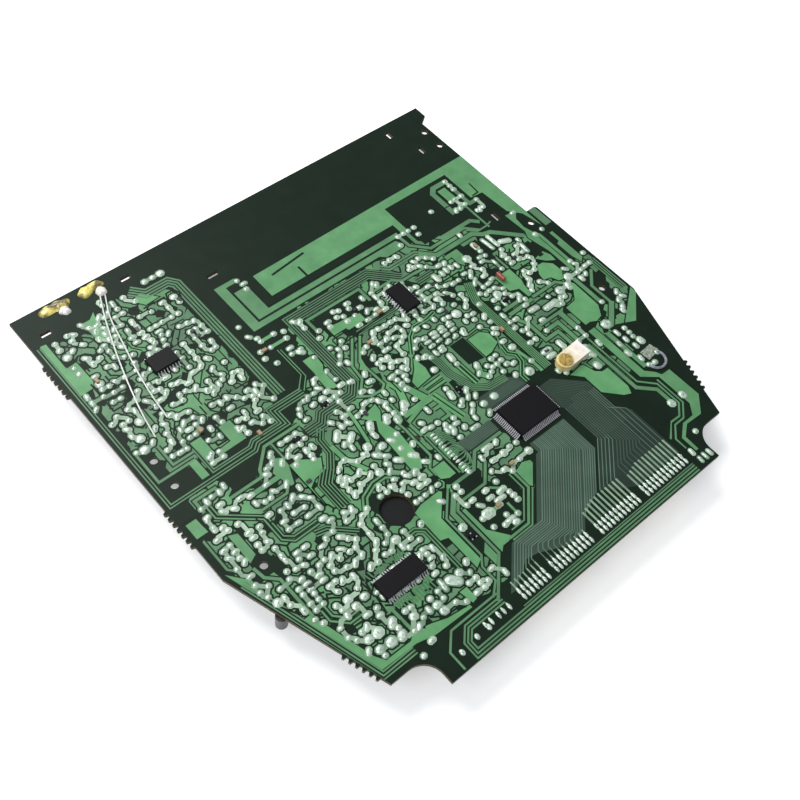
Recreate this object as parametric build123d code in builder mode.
from build123d import *

import math
import os

# Radio main board, lying with its solder side up on the tall parts of its component side.
# X runs to the right, Y to the rear edge, Z up. The origin is at the middle of the board's
# plan, on the surface that the board rests on. All sizes are in millimetres.

os.makedirs("parts", exist_ok=True)

# ---- Board ----
board_width = 208.6
board_depth = 209.8
board_thickness = 1.6
board_lift = 14.0  # surface to the board's underside, which the tallest parts all reach


# Places on the board, as distances in from its two nearest edges.
def rear_left(from_left, from_rear):
    return (from_left - board_width / 2, board_depth / 2 - from_rear)


def rear_right(from_right, from_rear):
    return (board_width / 2 - from_right, board_depth / 2 - from_rear)


def front_left(from_left, from_front):
    return (from_left - board_width / 2, from_front - board_depth / 2)


def front_right(from_right, from_front):
    return (board_width / 2 - from_right, from_front - board_depth / 2)


# ---- Outline, holes and slots ----
right_set_in = 5.5  # the right side stands in behind the shoulder
shoulder_from_rear = 77.1
shoulder_radius = 1.5
ear_width = 4.5  # ear left at the rear right corner
ear_length = 6.5
ear_slope = 3.0
taper_from_front = 74.9  # both sides taper from here to the front notches
taper_set_in = 19.9
notch_width = 15.6  # corner notches at the front
notch_depth = 12.3
notch_radius = 8.0

nib_pitch = 2.6  # stubs of the break-away perforation
nib_base = 1.7
nib_height = 1.2
rear_nibs_from_rear = 33.4  # to the middle of the stretch
middle_nibs_from_taper = 24.2
nib_angle = 70
side_nib_count = 7
taper_nib_count = 6

fixing_hole_radius = 1.5
fixing_hole_inset = 8.3  # from the widest part of the board
middle_holes_from_rear = 82.9
left_pair_spacing = 12.7
rear_right_hole_from_rear = 14.3
rear_right_pair_spacing = 10.3
front_left_hole = front_left(13.8, 70.6)
front_right_hole = front_right(10.5, 83.1)
choke_hole_radius = 6.3
choke_hole_place = front_left(62.8, 58.4)
slot_length = 5.0
slot_width = 1.9
rear_slot_length = 4.2

# ---- Solder side: chips with gull-wing leads ----
lead_thickness = 0.18
mould_draft = 7
body_standoff = 0.15

controller_place = front_right(79.8, 58.9)
controller_length = 20.0
controller_width = 14.0
controller_height = 2.7
controller_pitch = 0.8
controller_long_side_lead_count = 24
controller_short_side_lead_count = 16
controller_lead_width = 0.36
controller_lead_reach = 1.95
controller_foot = 0.9

wide_chip_width = 7.6
wide_chip_height = 2.3
wide_chip_lead_width = 0.42
wide_chip_lead_reach = 1.45
wide_chip_foot = 0.7

audio_chip_place = front_left(46.5, 38.1)
audio_chip_length = 18.4
audio_chip_pitch = 1.0
audio_chip_side_lead_count = 18

tuner_chip_place = rear_left(35.1, 49.6)
tuner_chip_length = 10.6
small_outline_pitch = 1.27
tuner_chip_side_lead_count = 8

decoder_chip_place = (23.2, 23.5)
decoder_chip_length = 13.2
decoder_chip_side_lead_count = 10

# ---- Solder side: small parts ----
chip_length = 2.0
chip_width = 1.25
chip_height = 0.55
transistor_length = 2.9
transistor_width = 1.4
transistor_height = 1.0
transistor_lead_spacing = 1.9
transistor_lead_width = 0.45
transistor_lead_reach = 0.6
diode_length = 4.2
diode_radius = 1.1

trimmer_place = front_right(52.0, 65.7)
trimmer_length = 14.6
trimmer_width = 7.2
trimmer_height = 3.0
trimmer_rotor_radius = 2.8
trimmer_rotor_thickness = 0.8
trimmer_slot_width = 0.7
trimmer_slot_depth = 0.4
trimmer_tilt = 3

hook_place = front_right(21.0, 44.7)
hook_radius = 4.2
hook_wire_radius = 0.5
hook_start_angle = 185
hook_sweep_angle = 200

jumper_wire_radius = 0.3
wire_side_count = 6

# ---- Component side: sockets, headers and the heat sink ----
antenna_socket_from_left = 27.8
antenna_socket_width = 20.0
antenna_socket_length = 16.0
antenna_bore_radius = 5.2
antenna_bore_depth = 13.0
antenna_contact_radius = 2.1
antenna_contact_wall = 0.5
contact_side_count = 8  # the contact is folded from sheet
antenna_insulator_depth = 3.0
antenna_contact_recess = 5.0  # from the mouth in to the contact
antenna_tab_spacing = 16.0
antenna_tab_from_rear = 7.0
antenna_tab_width = 2.4
antenna_tab_thickness = 0.8
antenna_tab_clearance = 0.2
solder_lump_radius = 2.3
solder_lump_height = 1.5
solder_lump_side_count = 12

solder_height = 0.6  # of the header fingers and the main joints
solder_slope = 30
header_solder_width = 1.3
header_solder_length = 5.0
glue_height = 1.3
glue_length = 12.5
glue_width = 4.4

header_pitch = 2.0
header_from_front = 7.4
header_depth = 5.6
header_end = 1.7  # housing beyond its last pin
header_wall = 1.3
header_floor = 3.0
header_pin_size = 0.5
header_pin_tip_gap = 2.0
header_hole_size = 0.8
# the first pin's place along X and the number of pins
header_rows = [(-29.5, 7), (-13.5, 10), (9.9, 11), (34.6, 12)]

side_header_x = -42.5
side_header_pin_count = 5
side_header_height = 7.0
side_header_depth = 4.8

ribbon_header_place = (-11.0, -40.6)
ribbon_header_pitch = 1.5
ribbon_header_pin_count = 13
ribbon_header_height = 6.5
ribbon_header_depth = 4.6

sink_place = rear_right(44.3, 51.9)
sink_length = 24.0
sink_depth = 19.0
sink_plate = 3.0
sink_fin = 1.4
sink_fin_count = 6

amplifier_length = 20.0
amplifier_height = 10.5
amplifier_thickness = 3.4
amplifier_tab_thickness = 1.4
amplifier_pin_count = 11
amplifier_pin_pitch = 1.7
amplifier_pin_size = 0.6
screw_bay_radius = 2.7

# ---- Component side: parts that stand or lie under the board ----
small_can_radius = 2.5
small_can_height = 11.0
medium_can_radius = 4.0
medium_can_height = 11.5
large_can_radius = 5.0
large_can_height = 12.5
edge_can_radius = 2.25
edge_can_height = 6.5
edge_can_inset = 0.8  # of its middle from the edge that it looks out past
choke_flange_radius = 7.6
choke_flange = 2.0
choke_height = 11.0
choke_core_radius = 3.6
choke_winding_radius = 6.8
coil_can_size = 7.6
coil_can_height = 10.5
coil_core_radius = 2.2
coil_core_recess = 0.8
core_side_count = 8
winding_side_count = 24
flange_side_count = 32
film_length = 7.2
film_width = 2.6
film_height = 7.0
filter_length = 7.4
filter_width = 3.0
filter_height = 9.0
crystal_length = 11.2
crystal_width = 4.7
crystal_height = 4.0
resistor_length = 6.4
resistor_radius = 1.15
resistor_leg_span = 10.0
leg_size = 0.6
supply_choke_place = rear_right(34.3, 118.9)
supply_choke_length = 22.0
supply_choke_width = 11.0
supply_choke_height = 12.0
supply_winding_length = 13.0
supply_winding_width = 17.0
supply_winding_height = 7.6
relay_size = (15.0, 10.5, 10.0)
relay_place = rear_right(25.8, 92.4)
power_socket_size = (18.0, 7.0, 12.0)
power_socket_place = rear_right(34.3, 80.5)
power_socket_wall = 1.7
regulator_body = (8.0, 3.2, 10.8)

# ---- Worked out from the above ----
half_width = board_width / 2
antenna_socket_x = antenna_socket_from_left - half_width
rear_edge = board_depth / 2
front_edge = -rear_edge
underside = board_lift
topside = board_lift + board_thickness
right_side = half_width - right_set_in
shoulder_y = rear_edge - shoulder_from_rear
taper_y = front_edge + taper_from_front
front_half_width = half_width - taper_set_in
notch_y = front_edge + notch_depth
middle_holes_y = rear_edge - middle_holes_from_rear
hole_x = half_width - fixing_hole_inset
header_y = front_edge + header_from_front
taper_angle = math.degrees(math.atan2(taper_set_in, taper_y - notch_y))
CENTRE_TOP = (Align.CENTER, Align.CENTER, Align.MAX)
CENTRE_BASE = (Align.CENTER, Align.CENTER, Align.MIN)


def save(piece, name):
    """Labels a finished piece and writes its STEP file."""
    piece.part.label = name
    export_step(piece.part, f"parts/{name}.step")


def along(count, pitch):
    """Offsets of evenly pitched places about their middle."""
    return [(i - (count - 1) / 2) * pitch for i in range(count)]


def header_pin_places():
    """Pin places of the four front headers."""
    return [(x + i * header_pitch, header_y) for x, n in header_rows for i in range(n)]


# The board: outline, break-away stubs, notches, fixing holes, slots and pin holes.
with BuildPart() as circuit_board:
    with BuildSketch(Plane.XY.offset(underside)) as board_face:
        with BuildLine():
            Polyline(
                (-front_half_width + notch_width, front_edge),
                (front_half_width - notch_width, front_edge),
                (front_half_width - notch_width, notch_y),
                (front_half_width, notch_y),
                (half_width, taper_y),
                (half_width, shoulder_y),
                (right_side, shoulder_y),
                (right_side, rear_edge - ear_length - ear_slope),
                (right_side + ear_width, rear_edge - ear_length),
                (right_side + ear_width, rear_edge),
                (-half_width, rear_edge),
                (-half_width, taper_y),
                (-front_half_width, notch_y),
                (-front_half_width + notch_width, notch_y),
                close=True,
            )
        make_face()
        inner_corners = [
            v
            for v in board_face.vertices()
            if abs(v.Y - notch_y) < 0.01 and abs(v.X) < front_half_width - 1
        ]
        fillet(inner_corners, notch_radius)
        shoulder_corner = [
            v
            for v in board_face.vertices()
            if abs(v.Y - shoulder_y) < 0.01 and v.X > right_side + 1
        ]
        fillet(shoulder_corner, shoulder_radius)
        # break-away stubs on the left side, in two stretches
        for stretch_y in (rear_edge - rear_nibs_from_rear, taper_y + middle_nibs_from_taper):
            with Locations(
                *[
                    Location((-half_width, stretch_y + offset), 90)
                    for offset in along(side_nib_count, nib_pitch)
                ]
            ):
                Trapezoid(nib_base, nib_height, nib_angle, align=(Align.CENTER, Align.MIN))
        # and on both tapers
        for side, share in ((-1, 0.83), (1, 0.71)):
            middle_x = side * (half_width - share * taper_set_in)
            middle_y = taper_y - share * (taper_y - notch_y)
            turn = math.radians(taper_angle)
            with Locations(
                *[
                    Location(
                        (
                            middle_x + side * offset * math.sin(turn),
                            middle_y + offset * math.cos(turn),
                        ),
                        -side * (90 + taper_angle),
                    )
                    for offset in along(taper_nib_count, nib_pitch)
                ]
            ):
                Trapezoid(nib_base, nib_height, nib_angle, align=(Align.CENTER, Align.MIN))
        # round holes
        with Locations(
            (-hole_x, middle_holes_y),
            (hole_x, middle_holes_y),
            (-hole_x, middle_holes_y - left_pair_spacing),
            (hole_x, rear_edge - rear_right_hole_from_rear),
            (hole_x, rear_edge - rear_right_hole_from_rear - rear_right_pair_spacing),
            front_left_hole,
            front_right_hole,
        ):
            Circle(fixing_hole_radius, mode=Mode.SUBTRACT)
        with Locations(choke_hole_place):
            Circle(choke_hole_radius, mode=Mode.SUBTRACT)
        # slots for the metalwork's tabs
        with Locations(Location((-29.2, rear_edge - 25.9)), Location(rear_right(18.6, 70.9), 90)):
            Rectangle(slot_length, slot_width, mode=Mode.SUBTRACT)
        with Locations(
            Location(rear_right(23.0, 6.4), 90),
            Location(rear_right(17.3, 22.2), 90),
            Location(rear_left(fixing_hole_inset, 12.2)),
            Location(rear_left(46.8, 6.8)),
        ):
            Rectangle(rear_slot_length, slot_width, mode=Mode.SUBTRACT)
        # slots for the antenna socket's tabs and the holes for the header pins
        with Locations(
            *[
                (antenna_socket_x + offset, rear_edge - antenna_tab_from_rear)
                for offset in along(2, antenna_tab_spacing)
            ]
        ):
            Rectangle(
                antenna_tab_width + 2 * antenna_tab_clearance,
                antenna_tab_thickness + 2 * antenna_tab_clearance,
                mode=Mode.SUBTRACT,
            )
        with Locations(*header_pin_places()):
            Rectangle(header_hole_size, header_hole_size, mode=Mode.SUBTRACT)
    extrude(amount=board_thickness)
save(circuit_board, "circuit_board")


# ---- Solder side ----


def moulded_body(length, width, height, place):
    """A chip's moulded body, drafted away from its parting line, on the solder side."""
    parting = topside + body_standoff + height / 2
    with BuildPart() as body:
        with BuildSketch(Plane.XY.offset(parting)):
            with Locations(place):
                Rectangle(length, width)
        extrude(amount=height / 2, taper=mould_draft)
        with BuildSketch(Plane.XY.offset(parting)):
            with Locations(place):
                Rectangle(length, width)
        extrude(amount=-height / 2, taper=mould_draft)
    return body


def gull_wing_lead(reach, foot, width, height):
    """One lead, from the body's side at x = 0 down to its foot, standing on z = 0."""
    leave = body_standoff + height / 2
    knee = reach - foot
    with BuildPart() as lead:
        with BuildSketch(Plane.XZ):
            with BuildLine():
                Polyline(
                    (0, leave - lead_thickness),
                    (knee - lead_thickness / 2, 0),
                    (reach, 0),
                    (reach, lead_thickness),
                    (knee, lead_thickness),
                    (0, leave + lead_thickness / 2),
                    close=True,
                )
            make_face()
        extrude(amount=width / 2, both=True)
    return lead


def lead_row(place, angle, offset, count, pitch):
    """Places of a row of leads that point along an angle, offset from the body's middle."""
    turn = math.radians(angle)
    out_x, out_y = math.cos(turn), math.sin(turn)
    return [
        Location(
            (
                place[0] + offset * out_x - s * out_y,
                place[1] + offset * out_y + s * out_x,
                topside,
            ),
            (0, 0, angle),
        )
        for s in along(count, pitch)
    ]


controller_chip = moulded_body(
    controller_length, controller_width, controller_height, controller_place
)
save(controller_chip, "controller_chip")

controller_lead = gull_wing_lead(
    controller_lead_reach, controller_foot, controller_lead_width, controller_height
)
with BuildPart() as controller_leads:
    for angle in (90, 270):
        with Locations(
            *lead_row(
                controller_place,
                angle,
                controller_width / 2,
                controller_long_side_lead_count,
                controller_pitch,
            )
        ):
            add(controller_lead.part)
    for angle in (0, 180):
        with Locations(
            *lead_row(
                controller_place,
                angle,
                controller_length / 2,
                controller_short_side_lead_count,
                controller_pitch,
            )
        ):
            add(controller_lead.part)
save(controller_leads, "controller_leads")

wide_lead = gull_wing_lead(
    wide_chip_lead_reach, wide_chip_foot, wide_chip_lead_width, wide_chip_height
)


def wide_chip(name, length, place, count, pitch, upright):
    """A wide small-outline chip: its moulded body and its two rows of leads."""
    size = (wide_chip_width, length) if upright else (length, wide_chip_width)
    body = moulded_body(size[0], size[1], wide_chip_height, place)
    save(body, name)
    with BuildPart() as leads:
        for angle in (0, 180) if upright else (90, 270):
            with Locations(*lead_row(place, angle, wide_chip_width / 2, count, pitch)):
                add(wide_lead.part)
    save(leads, name + "_leads")


wide_chip(
    "audio_chip",
    audio_chip_length,
    audio_chip_place,
    audio_chip_side_lead_count,
    audio_chip_pitch,
    upright=False,
)
wide_chip(
    "tuner_chip",
    tuner_chip_length,
    tuner_chip_place,
    tuner_chip_side_lead_count,
    small_outline_pitch,
    upright=False,
)
wide_chip(
    "decoder_chip",
    decoder_chip_length,
    decoder_chip_place,
    decoder_chip_side_lead_count,
    small_outline_pitch,
    upright=True,
)

# Chip resistors and capacitors, some along X and some along Y.
resistor_chips_along_x = [
    rear_left(52.8, 47.4),
    rear_left(52.3, 44.3),
    rear_left(20.3, 63.9),
    (4.5, 31.0),
    (38.5, 22.0),
]
resistor_chips_along_x += [
    front_left(21.3, 54.7),
    front_left(45.8, 86.4),
    rear_right(28.8, 92.9),
    front_right(52.8, 74.4),
]
resistor_chips_along_y = [
    rear_left(57.3, 28.4),
    rear_left(36.3, 30.9),
    (-24.0, -9.0),
    (33.0, 8.0),
    (-16.0, -29.0),
]
capacitor_chips_along_x = [
    (-36.0, 36.5),
    (-1.5, 15.0),
    (11.5, 24.0),
    front_left(92.3, 37.1),
    front_right(100.3, 46.4),
]
capacitor_chips_along_y = [
    rear_left(28.3, 82.9),
    rear_left(11.3, 42.4),
    rear_left(44.3, 96.9),
    rear_right(37.8, 78.4),
    front_right(59.8, 92.9),
]

with BuildPart() as chip_resistors:
    with Locations(*[(x, y, topside) for x, y in resistor_chips_along_x]):
        Box(chip_length, chip_width, chip_height, align=CENTRE_BASE)
    with Locations(*[(x, y, topside) for x, y in resistor_chips_along_y]):
        Box(chip_width, chip_length, chip_height, align=CENTRE_BASE)
save(chip_resistors, "chip_resistors")

with BuildPart() as chip_capacitors:
    with Locations(*[(x, y, topside) for x, y in capacitor_chips_along_x]):
        Box(chip_length, chip_width, chip_width, align=CENTRE_BASE)
    with Locations(*[(x, y, topside) for x, y in capacitor_chips_along_y]):
        Box(chip_width, chip_length, chip_width, align=CENTRE_BASE)
save(chip_capacitors, "chip_capacitors")

# Small moulded transistors: a body with two leads at one side and one at the other.
transistor_places = [
    front_right(48.1, 102.5),
    (-33.6, 3.4),
    front_left(76.7, 34.1),
    (11.2, -22.4),
    front_left(53.3, 102.4),
]
with BuildPart() as small_transistors:
    with Locations(*[(x, y, topside) for x, y in transistor_places]):
        Box(transistor_length, transistor_width, transistor_height, align=CENTRE_BASE)
save(small_transistors, "small_transistors")

with BuildPart() as small_transistor_leads:
    for x, y in transistor_places:
        row = transistor_width / 2 + transistor_lead_reach / 2
        with Locations(
            (x, y + row, topside),
            (x - transistor_lead_spacing / 2, y - row, topside),
            (x + transistor_lead_spacing / 2, y - row, topside),
        ):
            Box(
                transistor_lead_width,
                transistor_lead_reach,
                transistor_height / 2,
                align=CENTRE_BASE,
            )
save(small_transistor_leads, "small_transistor_leads")

with BuildPart() as glass_diode:
    with Locations(Location((63.1, 7.6, topside + diode_radius), (90, 0, 0))):
        Cylinder(diode_radius, diode_length)
save(glass_diode, "glass_diode")

# Ceramic trimmer: a flat base with one round end, and its slotted rotor on top.
trimmer_plane = Plane(
    origin=(trimmer_place[0], trimmer_place[1], topside),
    x_dir=(math.cos(math.radians(trimmer_tilt)), math.sin(math.radians(trimmer_tilt)), 0),
    z_dir=(0, 0, 1),
)
with BuildPart() as trimmer_base:
    with BuildSketch(trimmer_plane):
        Circle(trimmer_width / 2)
        Rectangle(
            trimmer_length - trimmer_width / 2,
            trimmer_width,
            align=(Align.MIN, Align.CENTER),
        )
    extrude(amount=trimmer_height)
save(trimmer_base, "trimmer_base")

with BuildPart() as trimmer_rotor:
    with BuildSketch(trimmer_plane.offset(trimmer_height)):
        Circle(trimmer_rotor_radius)
    extrude(amount=trimmer_rotor_thickness)
    with BuildSketch(trimmer_plane.offset(trimmer_height + trimmer_rotor_thickness)):
        Rectangle(3 * trimmer_rotor_radius, trimmer_slot_width, rotation=40)
    extrude(amount=-trimmer_slot_depth, mode=Mode.SUBTRACT)
save(trimmer_rotor, "trimmer_rotor")

# Test hook: an open loop of tinned wire that lies on the board.
with BuildPart() as wire_hook:
    with BuildLine():
        loop = CenterArc(
            (hook_place[0], hook_place[1], topside + hook_wire_radius),
            hook_radius,
            hook_start_angle,
            hook_sweep_angle,
        )
    with BuildSketch(Plane(origin=loop @ 0, z_dir=loop % 0)):
        RegularPolygon(hook_wire_radius, wire_side_count, major_radius=False)
    sweep(path=loop)
save(wire_hook, "wire_hook")

# Solder fingers of the front headers, one over the end of each pin.
with BuildPart() as header_solder:
    with BuildSketch(Plane.XY.offset(topside)):
        with Locations(*header_pin_places()):
            Rectangle(header_solder_width, header_solder_length)
    extrude(amount=solder_height, taper=solder_slope)
save(header_solder, "header_solder")

# Main solder joints of the larger parts: place, length, width and turn of each.
main_joint_sizes = [
    (rear_left(8.6, 26.5), 3.4, 3.2, 0),
    (rear_left(13.3, 66.3), 2.6, 3.2, 0),
    (rear_left(9.7, 72.5), 3.4, 3.2, 0),
    (rear_left(58.9, 12.9), 3.4, 3.2, 0),
    (rear_right(45.3, 81.3), 3.6, 3.4, 0),
    (rear_right(32.5, 80.5), 7.4, 1.7, 90),
    (rear_right(29.4, 80.5), 7.4, 1.7, 90),
    (rear_right(21.2, 91.3), 5.6, 1.6, 90),
    (front_right(34.5, 89.8), 8.0, 2.4, 0),
    (front_right(41.7, 92.6), 5.0, 2.3, 0),
    (front_right(25.9, 92.9), 3.6, 3.4, 0),
    (front_right(17.7, 95.9), 3.6, 3.4, 0),
    (front_right(23.5, 69.1), 4.4, 4.2, 0),
    (front_left(60.1, 25.9), 6.0, 3.6, -45),
    (front_left(29.3, 23.0), 3.6, 3.6, 0),
    (front_left(28.0, 28.1), 4.2, 3.6, 0),
    (front_left(33.5, 22.4), 4.0, 2.4, 45),
    (front_left(87.4, 37.0), 5.4, 3.6, 0),
    (rear_right(49.7, 88.3), 5.0, 1.6, 45),
    (rear_right(51.1, 92.3), 5.0, 1.6, 45),
    (front_right(45.7, 73.3), 4.4, 2.4, 90),
    (front_right(21.3, 92.5), 4.4, 2.4, 90),
    (front_right(31.8, 26.9), 3.4, 2.8, 90),
    (front_right(25.1, 26.9), 3.4, 2.8, 90),
    (front_right(41.7, 57.3), 3.4, 2.8, 90),
    (front_right(18.3, 54.9), 3.4, 2.8, 90),
    (front_left(27.8, 43.3), 3.2, 2.8, 0),
    (front_left(28.3, 39.7), 3.2, 2.8, 0),
    (front_left(32.8, 40.7), 3.2, 2.8, 0),
    (front_left(49.7, 22.9), 3.2, 2.8, 0),
    (front_left(24.7, 23.3), 3.2, 2.8, 0),
    (front_left(40.9, 24.9), 3.2, 2.8, 0),
    (front_left(25.9, 90.9), 3.0, 1.7, 90),
    (front_left(34.0, 83.5), 3.0, 1.7, 90),
    (front_left(33.3, 94.6), 3.0, 1.7, 0),
]
with BuildPart() as main_joints:
    with BuildSketch(Plane.XY.offset(topside)):
        for place, length, width, turn in main_joint_sizes:
            with Locations(place):
                Rectangle(length, width, rotation=turn)
    extrude(amount=solder_height, taper=solder_slope)
save(main_joints, "main_joints")

# Solder on the antenna socket's tabs, and the glue beside it.
tab_places = [
    (antenna_socket_x + offset, rear_edge - antenna_tab_from_rear)
    for offset in along(2, antenna_tab_spacing)
]
with BuildPart() as tab_solder:
    with BuildSketch(Plane.XY.offset(topside)):
        with Locations(*tab_places):
            RegularPolygon(solder_lump_radius, solder_lump_side_count)
    extrude(amount=solder_lump_height)
save(tab_solder, "tab_solder")

with BuildPart() as fixing_glue:
    with BuildSketch(Plane.XY.offset(topside)):
        for x, y in tab_places:
            with Locations((x - 2.6, y + 3.6)):
                Rectangle(glue_length, glue_width)
                Rectangle(glue_length - 3, glue_width + 1.6)
        with Locations(*tab_places):
            RegularPolygon(solder_lump_radius, solder_lump_side_count, mode=Mode.SUBTRACT)
    extrude(amount=glue_height)
save(fixing_glue, "fixing_glue")


def wire_tube(points, radius):
    """A wire of straight runs joined by tangent arcs, each as large as its runs allow."""
    corners = [Vector(*p) for p in points]
    runs = [(b - a) for a, b in zip(corners, corners[1:])]
    radii = []
    for before, after in zip(runs, runs[1:]):
        half_turn = math.radians(before.get_angle(after)) / 2
        radii.append(0.45 * min(before.length, after.length) / math.tan(half_turn))
    print("wire arc radii", [round(r, 1) for r in radii])
    with BuildPart() as tube:
        with BuildLine():
            route = FilletPolyline(*corners, radius=radii)
        with BuildSketch(Plane(origin=route @ 0, z_dir=route % 0)) as section:
            RegularPolygon(radius, wire_side_count)
        sweep(path=route)
    swept_share = tube.part.volume / (section.sketch.area * route.length)
    print("wire volume over section times length", round(swept_share, 4))
    return tube


# Two thin jumper wires, soldered at both ends, that run over the tuner's joints.
wire_start = antenna_tab_from_rear + solder_lump_radius - 0.3
low = topside + jumper_wire_radius
left_route = [
    (*rear_left(34.1, wire_start), low),
    (*rear_left(29.1, 20.4), low + 1.5),
    (*rear_left(23.5, 36.4), low + 1.9),
    (*rear_left(20.0, 47.9), low + 1.7),
    (*rear_left(15.8, 64.4), low + 1.4),
    (*rear_left(14.3, 75.4), low),
]
right_route = [
    (*rear_left(36.0, wire_start + 0.5), low),
    (*rear_left(30.7, 20.9), low + 1.6),
    (*rear_left(28.1, 33.4), low + 2.0),
    (*rear_left(24.7, 48.4), low + 1.8),
    (*rear_left(22.9, 60.4), low + 1.5),
    (*rear_left(22.4, 70.9), low),
]
left_jumper_wire = wire_tube(left_route, jumper_wire_radius)
save(left_jumper_wire, "left_jumper_wire")
right_jumper_wire = wire_tube(right_route, jumper_wire_radius)
save(right_jumper_wire, "right_jumper_wire")


# ---- Component side ----

# Antenna socket: a metal shell bored from the rear, its insulator and its centre contact.
socket_y = rear_edge - antenna_socket_length / 2
bore_plane = Plane(
    origin=(antenna_socket_x, rear_edge, board_lift / 2), x_dir=(-1, 0, 0), z_dir=(0, 1, 0)
)
with BuildPart() as antenna_socket_shell:
    with Locations((antenna_socket_x, socket_y, 0)):
        Box(antenna_socket_width, antenna_socket_length, board_lift, align=CENTRE_BASE)
    with BuildSketch(bore_plane):
        Circle(antenna_bore_radius)
    extrude(amount=-antenna_bore_depth, mode=Mode.SUBTRACT)
    with Locations(*[(x, y, underside) for x, y in tab_places]):
        Box(antenna_tab_width, antenna_tab_thickness, board_thickness, align=CENTRE_BASE)
save(antenna_socket_shell, "antenna_socket_shell")

insulator_plane = bore_plane.offset(-antenna_bore_depth)
with BuildPart() as antenna_socket_insulator:
    with BuildSketch(insulator_plane):
        Circle(antenna_bore_radius)
        RegularPolygon(antenna_contact_radius, contact_side_count, mode=Mode.SUBTRACT)
    extrude(amount=antenna_insulator_depth)
save(antenna_socket_insulator, "antenna_socket_insulator")

with BuildPart() as antenna_socket_contact:
    with BuildSketch(insulator_plane):
        RegularPolygon(antenna_contact_radius, contact_side_count)
        RegularPolygon(
            antenna_contact_radius - antenna_contact_wall,
            contact_side_count,
            mode=Mode.SUBTRACT,
        )
    extrude(amount=antenna_bore_depth - antenna_contact_recess)
save(antenna_socket_contact, "antenna_socket_contact")


def header_housing(x, y, length, depth, height):
    """A header's moulded housing under the board, open at the bottom, with its floor above."""
    with BuildPart() as housing:
        with Locations((x, y, underside)):
            Box(length, depth, height, align=CENTRE_TOP)
        with Locations((x, y, underside - header_floor)):
            Box(
                length - 2 * header_wall,
                depth - 2 * header_wall,
                height - header_floor,
                align=CENTRE_TOP,
                mode=Mode.SUBTRACT,
            )
        with Locations(*header_pin_places()):
            Box(header_pin_size, header_pin_size, 2 * topside, mode=Mode.SUBTRACT)
    return housing


for number, (first_x, count) in enumerate(header_rows, start=1):
    middle = first_x + (count - 1) * header_pitch / 2
    length = (count - 1) * header_pitch + 2 * header_end
    front_header = header_housing(middle, header_y, length, header_depth, board_lift)
    save(front_header, f"front_header_{number}")

side_header = header_housing(
    side_header_x,
    header_y,
    (side_header_pin_count - 1) * header_pitch + 2 * header_end,
    side_header_depth,
    side_header_height,
)
save(side_header, "side_header")

ribbon_header = header_housing(
    ribbon_header_place[0],
    ribbon_header_place[1],
    ribbon_header_depth,
    (ribbon_header_pin_count - 1) * ribbon_header_pitch + 2 * header_end,
    ribbon_header_height,
)
save(ribbon_header, "ribbon_header")

with BuildPart() as front_header_pins:
    long_pin = topside - header_pin_tip_gap
    with Locations(*[(x, y, topside) for x, y in header_pin_places()]):
        Box(header_pin_size, header_pin_size, long_pin, align=CENTRE_TOP)
save(front_header_pins, "front_header_pins")

# Heat sink: one extruded comb, its plate to the right and its fins to the left.
sink_right = sink_place[0] + sink_depth / 2
fin_gap = (sink_length - sink_fin) / (sink_fin_count - 1)
with BuildPart() as heat_sink:
    with BuildSketch(Plane.XY):
        with Locations((sink_right, sink_place[1])):
            Rectangle(sink_plate, sink_length, align=(Align.MAX, Align.CENTER))
        with Locations(*[(sink_right, sink_place[1] + y) for y in along(sink_fin_count, fin_gap)]):
            Rectangle(sink_depth, sink_fin, align=(Align.MAX, Align.CENTER))
    extrude(amount=board_lift)
save(heat_sink, "heat_sink")

# Power amplifier: metal tab against the heat sink, moulded body and pins. The body leaves
# a bay for the screw that clamps it.
tab_right = sink_right + amplifier_tab_thickness
with BuildPart() as amplifier_tab:
    with Locations((sink_right, sink_place[1], underside - 1)):
        Box(
            amplifier_tab_thickness,
            amplifier_length,
            amplifier_height,
            align=(Align.MIN, Align.CENTER, Align.MAX),
        )
save(amplifier_tab, "amplifier_tab")

with BuildPart() as amplifier_body:
    for side in (-1, 1):
        body_length = (amplifier_length - 2 * screw_bay_radius - 2) / 2
        middle_y = sink_place[1] + side * (amplifier_length - body_length) / 2
        with Locations((tab_right, middle_y, underside - 1)):
            Box(
                amplifier_thickness,
                body_length,
                amplifier_height,
                align=(Align.MIN, Align.CENTER, Align.MAX),
            )
    with Locations((tab_right, sink_place[1], underside - 1)):
        Box(
            amplifier_thickness,
            amplifier_length,
            amplifier_height / 2 - screw_bay_radius - 0.5,
            align=(Align.MIN, Align.CENTER, Align.MAX),
        )
save(amplifier_body, "amplifier_body")

with BuildPart() as amplifier_pins:
    pin_x = tab_right + amplifier_thickness
    for i, y in enumerate(along(amplifier_pin_count, amplifier_pin_pitch)):
        reach = 1.2 if i % 2 else 4.2
        with Locations((pin_x, sink_place[1] + y, underside - 1.6)):
            Box(
                reach,
                amplifier_pin_size,
                amplifier_pin_size,
                align=(Align.MIN, Align.CENTER, Align.MAX),
            )
        with Locations((pin_x + reach, sink_place[1] + y, underside)):
            Box(
                amplifier_pin_size,
                amplifier_pin_size,
                1.6 + amplifier_pin_size,
                align=(Align.MAX, Align.CENTER, Align.MAX),
            )
save(amplifier_pins, "amplifier_pins")

def standing_cans(places, radius, height):
    """Electrolytic capacitors that stand under the board, as one group."""
    with BuildPart() as cans:
        with Locations(*[(x, y, underside) for x, y in places]):
            Cylinder(radius, height, align=CENTRE_TOP)
    return cans


small_can_places = [rear_left(52.3, 58.9), front_left(46.3, 28.9)]
small_electrolytics = standing_cans(small_can_places, small_can_radius, small_can_height)
save(small_electrolytics, "small_electrolytics")

medium_can_places = [front_left(44.3, 80.9), rear_right(58.3, 90.9)]
medium_electrolytics = standing_cans(medium_can_places, medium_can_radius, medium_can_height)
save(medium_electrolytics, "medium_electrolytics")

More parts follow.
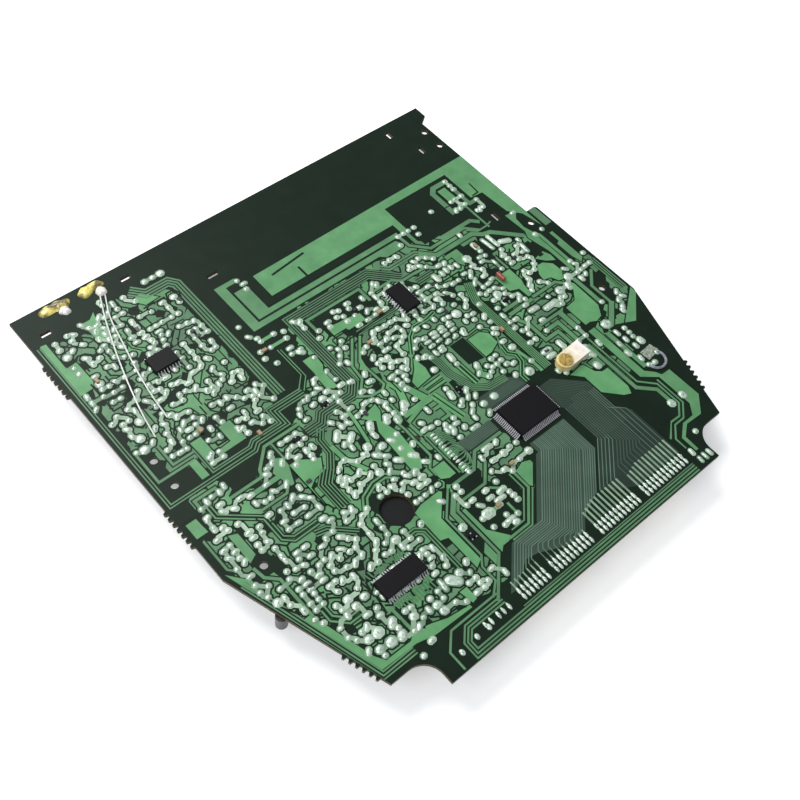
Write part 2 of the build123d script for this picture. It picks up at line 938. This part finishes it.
large_can_places = [front_left(24.3, 100.9), rear_right(32.3, 142.9)]
large_electrolytics = standing_cans(large_can_places, large_can_radius, large_can_height)
save(large_electrolytics, "large_electrolytics")

# One can leans out past the left taper.
edge_can_y = -51.8
edge_can_reach = (taper_y - edge_can_y) * math.tan(math.radians(taper_angle))
edge_can_place = (edge_can_reach + edge_can_inset - half_width, edge_can_y)
edge_electrolytic = standing_cans([edge_can_place], edge_can_radius, edge_can_height)
save(edge_electrolytic, "edge_electrolytic")

# Filter choke under the large hole: a ferrite drum and the winding between its flanges.
choke_place = choke_hole_place
with BuildPart() as filter_choke_core:
    for flange_z in (underside, underside - choke_height + choke_flange):
        with BuildSketch(Plane.XY.offset(flange_z)):
            with Locations(choke_place):
                RegularPolygon(choke_flange_radius, flange_side_count)
        extrude(amount=-choke_flange)
    with BuildSketch(Plane.XY.offset(underside - choke_flange)):
        with Locations(choke_place):
            RegularPolygon(choke_core_radius, core_side_count)
    extrude(amount=-(choke_height - 2 * choke_flange))
save(filter_choke_core, "filter_choke_core")

with BuildPart() as filter_choke_winding:
    with BuildSketch(Plane.XY.offset(underside - choke_flange)):
        with Locations(choke_place):
            RegularPolygon(choke_winding_radius, winding_side_count)
            RegularPolygon(choke_core_radius, core_side_count, mode=Mode.SUBTRACT)
    extrude(amount=-(choke_height - 2 * choke_flange))
save(filter_choke_winding, "filter_choke_winding")

# Coil cans of the tuner, each open round its tuning core.
coil_places = [
    rear_left(11.3, 24.9),
    rear_left(11.3, 38.9),
    rear_left(24.3, 26.9),
    rear_left(44.3, 16.9),
    rear_left(56.3, 20.9),
]
coil_bottom = underside - coil_can_height
with BuildPart() as coil_cans:
    with Locations(*[(x, y, underside) for x, y in coil_places]):
        Box(coil_can_size, coil_can_size, coil_can_height, align=CENTRE_TOP)
    with BuildSketch(Plane.XY.offset(coil_bottom)):
        with Locations(*coil_places):
            RegularPolygon(coil_core_radius, core_side_count)
    extrude(amount=2 * coil_core_recess, mode=Mode.SUBTRACT)
save(coil_cans, "coil_cans")

with BuildPart() as coil_cores:
    with BuildSketch(Plane.XY.offset(coil_bottom + coil_core_recess)):
        with Locations(*coil_places):
            RegularPolygon(coil_core_radius, core_side_count)
    extrude(amount=coil_core_recess)
save(coil_cores, "coil_cores")

film_places = [
    rear_left(14.3, 58.9),
    rear_left(25.3, 58.9),
    rear_left(36.3, 58.9),
    rear_left(34.3, 80.9),
    rear_left(16.3, 78.9),
    (-20.0, 14.0),
]
film_places += [
    (14.0, 38.0),
    (30.0, 4.0),
    front_left(34.3, 18.9),
    front_left(74.3, 20.9),
    rear_right(42.3, 102.9),
    front_right(88.3, 34.9),
]
with BuildPart() as film_capacitors:
    with Locations(*[(x, y, underside) for x, y in film_places]):
        Box(film_length, film_width, film_height, align=CENTRE_TOP)
save(film_capacitors, "film_capacitors")

filter_places = [rear_left(32.3, 34.9), rear_left(32.3, 40.9), rear_left(20.3, 38.4)]
with BuildPart() as ceramic_filters:
    with Locations(*[(x, y, underside) for x, y in filter_places]):
        Box(filter_length, filter_width, filter_height, align=CENTRE_TOP)
save(ceramic_filters, "ceramic_filters")

# Crystals: low cans with round ends.
crystal_places = [rear_left(43.3, 29.9)]
with BuildPart() as crystals:
    with BuildSketch(Plane.XY.offset(underside)):
        with Locations(*crystal_places):
            SlotOverall(crystal_length, crystal_width)
    extrude(amount=-crystal_height)
save(crystals, "crystals")


def axial_part(places, length, radius, sides):
    """Parts that lie flat under the board: a round body and a bent leg at each end."""
    leg_x = resistor_leg_span / 2
    with BuildPart() as group:
        for x, y in places:
            with BuildSketch(Plane.YZ.offset(x - length / 2)):
                with Locations((y, underside - radius)):
                    RegularPolygon(radius, sides)
            extrude(amount=length)
            for side in (-1, 1):
                start = x + side * length / 2
                stretch = leg_x - length / 2
                with Locations((start + side * stretch / 2, y, underside - radius)):
                    Box(stretch, leg_size, leg_size)
                with Locations((x + side * (leg_x - leg_size / 2), y, underside)):
                    Box(leg_size, leg_size, radius + leg_size / 2, align=CENTRE_TOP)
    return group


resistor_places = [
    rear_left(42.3, 68.9),
    rear_left(42.3, 72.9),
    rear_right(70.3, 74.9),
    rear_right(70.3, 70.9),
]
axial_resistors = axial_part(resistor_places, resistor_length, resistor_radius, 8)
save(axial_resistors, "axial_resistors")

# Wire links: flat staples of tinned wire, close under the board.
link_places = [
    (-30.0, 44.0),
    rear_left(98.3, 58.9),
    rear_right(82.3, 58.9),
    rear_left(40.3, 92.9),
    (-36.0, 4.0),
    front_right(64.3, 80.9),
]
link_length = 12.5
with BuildPart() as wire_links:
    with Locations(*[(x, y, underside) for x, y in link_places]):
        Box(link_length, leg_size, leg_size, align=CENTRE_TOP)
save(wire_links, "wire_links")

# Supply choke: a laminated core round its winding.
with BuildPart() as supply_choke_core:
    with Locations((supply_choke_place[0], supply_choke_place[1], underside)):
        Box(
            supply_choke_length,
            supply_choke_width,
            supply_choke_height,
            align=CENTRE_TOP,
        )
    with Locations(
        (supply_choke_place[0], supply_choke_place[1], underside - supply_choke_height / 2)
    ):
        Box(
            supply_winding_length,
            2 * supply_winding_width,
            supply_winding_height,
            mode=Mode.SUBTRACT,
        )
save(supply_choke_core, "supply_choke_core")

with BuildPart() as supply_choke_winding:
    with Locations(
        (supply_choke_place[0], supply_choke_place[1], underside - supply_choke_height / 2)
    ):
        Box(supply_winding_length, supply_winding_width, supply_winding_height)
save(supply_choke_winding, "supply_choke_winding")

with BuildPart() as muting_relay:
    with Locations((relay_place[0], relay_place[1], underside)):
        Box(*relay_size, align=CENTRE_TOP)
save(muting_relay, "muting_relay")

with BuildPart() as power_socket:
    with Locations((power_socket_place[0], power_socket_place[1], underside)):
        Box(*power_socket_size, align=CENTRE_TOP)
    with Locations(
        (power_socket_place[0], power_socket_place[1], underside - power_socket_size[2])
    ):
        Box(
            power_socket_size[0] - 2 * power_socket_wall,
            power_socket_size[1] - 2 * power_socket_wall,
            power_socket_size[2] - header_floor,
            align=CENTRE_BASE,
            mode=Mode.SUBTRACT,
        )
save(power_socket, "power_socket")

blade_size = (0.8, 2.4, 7.0)
with BuildPart() as power_socket_blades:
    with Locations(
        *[
            (power_socket_place[0] + x, power_socket_place[1], underside - header_floor)
            for x in along(4, 3.6)
        ]
    ):
        Box(*blade_size, align=CENTRE_TOP)
save(power_socket_blades, "power_socket_blades")

# Regulators: flat transistors that stand on three legs.
regulator_places = [rear_right(58.3, 64.9), rear_right(58.3, 71.9)]
leg_drop = 2.4
with BuildPart() as regulators:
    with Locations(*[(x, y, underside - leg_drop) for x, y in regulator_places]):
        Box(*regulator_body, align=CENTRE_TOP)
save(regulators, "regulators")

with BuildPart() as regulator_legs:
    with Locations(
        *[(x + step, y, underside) for x, y in regulator_places for step in along(3, 2.3)]
    ):
        Box(leg_size, leg_size, leg_drop, align=CENTRE_TOP)
save(regulator_legs, "regulator_legs")
